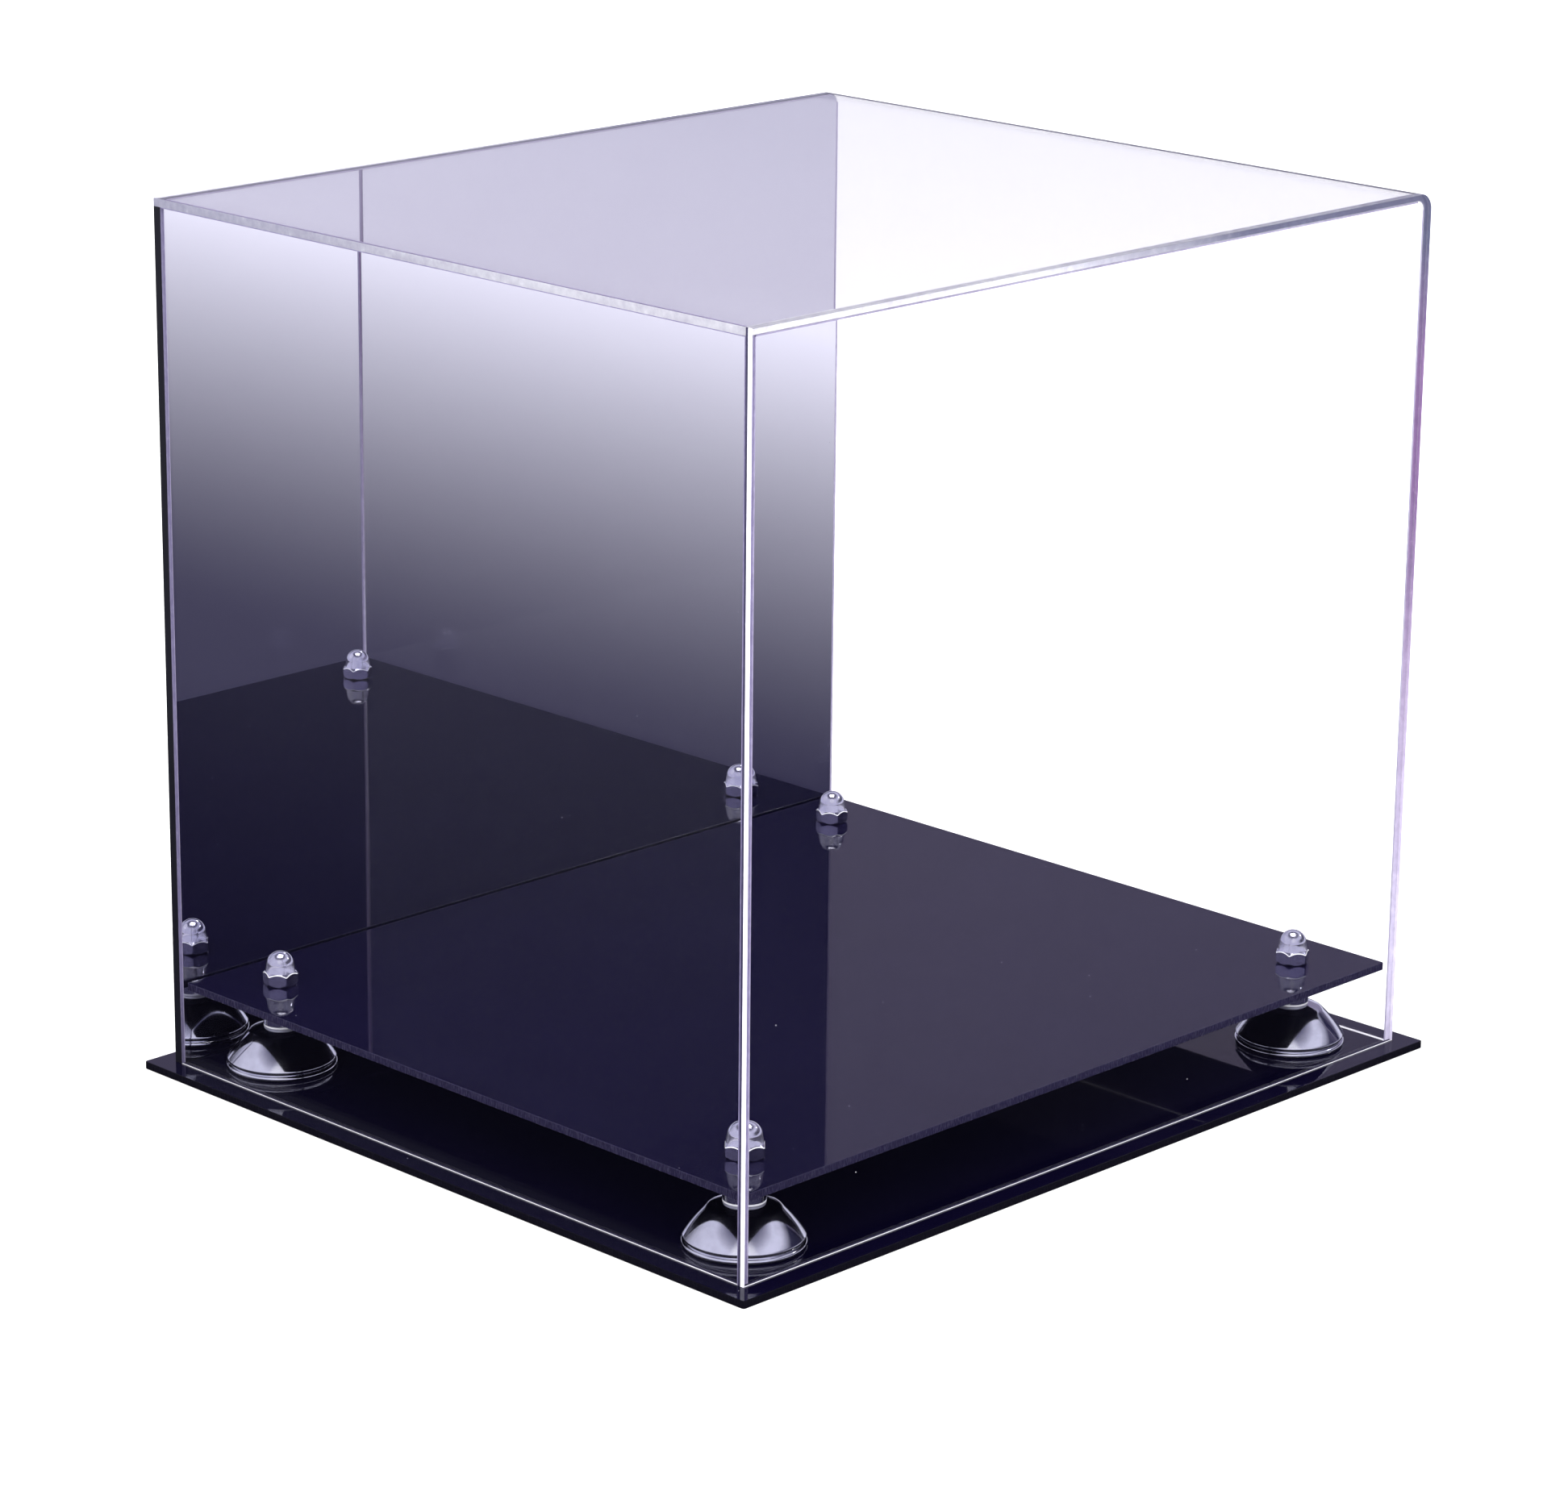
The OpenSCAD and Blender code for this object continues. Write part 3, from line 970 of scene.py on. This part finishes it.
def top_and_right_sheet():
    """One sheet: its outline is the section, and it is as deep as the cover."""
    lo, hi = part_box("cover_top_and_right_sheet")
    bottom = lo.z + JOINT_GAP
    inner = BEND_RADIUS - SHEET
    bend = (hi.x - BEND_RADIUS, hi.z - BEND_RADIUS)
    outside = arc(bend, BEND_RADIUS, 0, 90, CORNER_STEPS)
    inside = arc(bend, inner, 90, 0, CORNER_STEPS)
    outline = [(hi.x, bottom)] + outside + [(bend[0] - BEND_SHADE_STRIP, hi.z)]
    outline += [(lo.x, hi.z), (lo.x, hi.z - SHEET)] + inside
    outline += [(hi.x - SHEET, bottom)]
    # Places in this piece's list of materials
    clear, left_edge, lower_edge, front_edge, shaded_bend = 0, 1, 2, 3, 4
    # Outside: the right wall, the bend, which has painted shade where it meets the top, and the
    # top
    shaded_bend_steps = CORNER_STEPS // 3
    sides = [clear] * (len(outside) - shaded_bend_steps)
    sides += [shaded_bend] * (shaded_bend_steps + 1)
    sides += [clear, left_edge]
    # Inside, the sheet is clear from the left edge to the lower edge of the right wall.
    sides += [clear] * (len(inside) + 1)
    sides.append(lower_edge)
    bm = bmesh.new()
    # The outline is the sheet's section, so its flat faces are the front and back edges.
    sheet_mesh(bm, outline, upright, lo.y + JOINT_GAP, hi.y, sides, face_slot=front_edge)
    piece(
        "top_and_right_sheet",
        finish_mesh(bm, "top_and_right_sheet"),
        (CLEAR, EDGE_LEFT_TOP, EDGE_BRIGHT, EDGE_FRONT, BEND_PAINTED_SHADE),
        "cover",
        ("cover_top_and_right_sheet",),
    )


def mirror_panel():
    lo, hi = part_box("cover_mirror_panel")
    radius = BEND_RADIUS - SHEET
    outline = wall_outline(
        lo.x, hi.x - JOINT_GAP, lo.z + JOINT_GAP, hi.z - JOINT_GAP, radius
    )
    # Places in this piece's list of materials
    film, paint = 0, 1
    bm = bmesh.new()
    sheet_mesh(bm, outline, upright, lo.y, hi.y, [paint] * len(outline), face_slot=film)
    for face in bm.faces:
        if face.calc_center_median().y > lo.y + EDGE_ROUND:
            face.material_index = paint
    piece(
        "mirror_panel",
        finish_mesh(bm, "mirror_panel"),
        (MIRROR_FILM, MIRROR_PAINT),
        "cover",
        ("cover_mirror_panel",),
    )


def cement_fillet(name, start, end, toward_a, toward_b):
    """A thin hollow-faced fillet of solvent cement along an inner corner of the cover."""
    start, end = Vector(start), Vector(end)
    a, b = Vector(toward_a), Vector(toward_b)
    section = [Vector((0, 0))]
    for i in range(FILLET_STEPS + 1):
        t = math.radians(90 * i / FILLET_STEPS)
        section.append(Vector((1 - math.sin(t), 1 - math.cos(t))))
    bm = bmesh.new()
    loops = []
    for point in (start, end):
        loops.append([bm.verts.new(point + (a * s.x + b * s.y) * FILLET) for s in section])
    bridge(bm, loops[0], loops[1], 0)
    bm.faces.new(loops[0])
    bm.faces.new(loops[1])
    piece(name, finish_mesh(bm, name), (CEMENT_PAINTED_GLOW,), "cover")


def cement_fillets():
    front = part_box("cover_front_panel")[1].y
    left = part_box("cover_left_panel")[1].x
    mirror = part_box("cover_mirror_panel")[0].y
    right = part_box("cover_top_and_right_sheet")[1].x - SHEET
    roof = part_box("cover_top_and_right_sheet")[1].z - SHEET
    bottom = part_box("cover_left_panel")[0].z + JOINT_GAP
    turn = BEND_RADIUS - SHEET
    x, y, z = Vector((1, 0, 0)), Vector((0, 1, 0)), Vector((0, 0, 1))
    cement_fillet("cement_front_left", (left, front, bottom), (left, front, roof), x, y)
    cement_fillet("cement_front_right", (right, front, bottom), (right, front, roof - turn), -x, y)
    cement_fillet("cement_front_top", (left, front, roof), (right - turn, front, roof), y, -z)
    cement_fillet("cement_left_top", (left, front, roof), (left, mirror, roof), x, -z)
    cement_fillet("cement_mirror_left", (left, mirror, bottom), (left, mirror, roof), x, -y)
    cement_fillet("cement_mirror_top", (left, mirror, roof), (right - turn, mirror, roof), -y, -z)
    cement_fillet(
        "cement_mirror_right", (right, mirror, bottom), (right, mirror, roof - turn), -x, -y
    )


# ---------------------------------------------------------------------- stage

def make_floor():
    bpy.ops.mesh.primitive_grid_add(
        x_subdivisions=FLOOR_STEPS, y_subdivisions=FLOOR_STEPS, size=FLOOR_SIZE
    )
    floor = bpy.context.object
    floor.name = "studio_floor"
    floor.data.materials.append(pale_floor())


def make_world():
    """Pale light all round. Polished things see a set with walls, a roof and a lamp."""
    world = bpy.data.worlds.new("studio_dome")
    bpy.context.scene.world = world
    world.use_nodes = True
    tree = world.node_tree
    tree.nodes.clear()
    place = add(tree, "TexCoord")
    direction = place.outputs["Generated"]
    across, depth, height = add(tree, "SeparateXYZ", {0: direction}).outputs
    # Low on the right there is a violet wall at the back and a navy one at the front.
    walls = mix_colour(
        tree, remap(tree, depth, -0.15, 0.15), (0.020, 0.018, 0.060), (0.30, 0.27, 0.40)
    )
    band = math_node(
        tree,
        "MULTIPLY",
        remap(tree, height, 0.10, 0.20),
        remap(tree, height, 0.44, 0.60, 1.0, 0.0),
    )
    walled = math_node(tree, "MULTIPLY", band, remap(tree, across, -0.1, 0.35))
    # The roof is dim, with a soft lamp above and behind the camera.
    room = mix_colour(
        tree, remap(tree, height, 0.72, 0.86), (0.80, 0.80, 0.98), (0.13, 0.125, 0.21)
    )
    lamp_direction = Vector((-0.56, -0.55, 0.58)).normalized()
    toward = add(
        tree, "VectorMath", {0: direction, 1: lamp_direction}, operation="DOT_PRODUCT"
    )
    lamp = remap(tree, toward.outputs["Value"], 0.93, 0.96)
    room = mix_colour(tree, lamp, room, (1.05, 1.05, 1.15))
    dome = add(tree, "Background", {"Color": mix_colour(tree, walled, room, walls)})
    pale = add(tree, "Background", {"Color": (1.85, 1.85, 1.85, 1)})
    path = add(tree, "LightPath")
    seen_in_gloss = math_node(tree, "GREATER_THAN", path.outputs["Glossy Depth"], 0.5)
    both = add(
        tree,
        "MixShader",
        {0: seen_in_gloss, 1: pale.outputs[0], 2: dome.outputs[0]},
    )
    out = add(tree, "OutputWorld")
    tree.links.new(both.outputs[0], out.inputs[0])


def softbox(name, location, target, width, height, power, in_reflections):
    light = bpy.data.lights.new(name, "AREA")
    light.shape = "RECTANGLE"
    light.size, light.size_y = width, height
    light.energy = power
    lamp = bpy.data.objects.new(name, light)
    bpy.context.scene.collection.objects.link(lamp)
    lamp.location = location
    aim = Vector(target) - Vector(location)
    lamp.rotation_euler = aim.to_track_quat("-Z", "Y").to_euler()
    lamp.visible_glossy = in_reflections
    lamp.visible_transmission = in_reflections


def make_lights(middle):
    softbox("softbox_left", (-1.9, -0.3, 1.5), middle, 0.9, 1.6, 16, False)
    softbox("softbox_right", (0.7, -2.0, 1.4), middle, 0.9, 1.6, 14, False)
    softbox("softbox_top", (0.1, 0.1, 2.4), middle, 1.2, 1.2, 20, True)
    softbox("kicker", (1.5, -0.66, 1.3), middle, 0.25, 0.15, 2.5, True)


def make_camera(middle):
    """The photograph's view: from the front left, slightly above, with a long lens."""
    azimuth, elevation, roll = (math.radians(a) for a in CAMERA_ANGLES)
    back = Vector(
        (
            math.sin(azimuth) * math.cos(elevation),
            -math.cos(azimuth) * math.cos(elevation),
            math.sin(elevation),
        )
    )
    target = middle + CAMERA_AIM
    right = (-back).cross(Vector((0, 0, 1))).normalized()
    up = right.cross(-back)
    turned_right = right * math.cos(roll) - up * math.sin(roll)
    turned_up = up * math.cos(roll) + right * math.sin(roll)
    data = bpy.data.cameras.new("photo_camera")
    data.lens = CAMERA_LENS
    data.sensor_width = CAMERA_SENSOR
    data.clip_start, data.clip_end = 0.05, 60
    camera = bpy.data.objects.new("photo_camera", data)
    bpy.context.scene.collection.objects.link(camera)
    axes = Matrix((turned_right, turned_up, back)).transposed().to_4x4()
    camera.matrix_world = Matrix.Translation(target + back * CAMERA_DISTANCE) @ axes
    bpy.context.scene.camera = camera


black_plate("base_plate", BASE_EDGE, countersunk=True)
black_plate("shelf", SHELF_EDGE, countersunk=False)
turned_part("riser_bell", bell_profile, (RISER_METAL,))
turned_part(
    "riser_collar",
    collar_profile,
    (RISER_METAL, PAINTED_HIGHLIGHT_METAL),
    foot=COLLAR_FOOT + FOOT_SLACK,
)
riser_screws()
cap_nuts()
front_panel()
left_panel()
top_and_right_sheet()
mirror_panel()
cement_fillets()

object_middle = (cad_box[0] + cad_box[1]) / 2
make_camera(object_middle)
make_floor()
make_world()
make_lights(object_middle)
bpy.context.scene.view_settings.view_transform = "Standard"
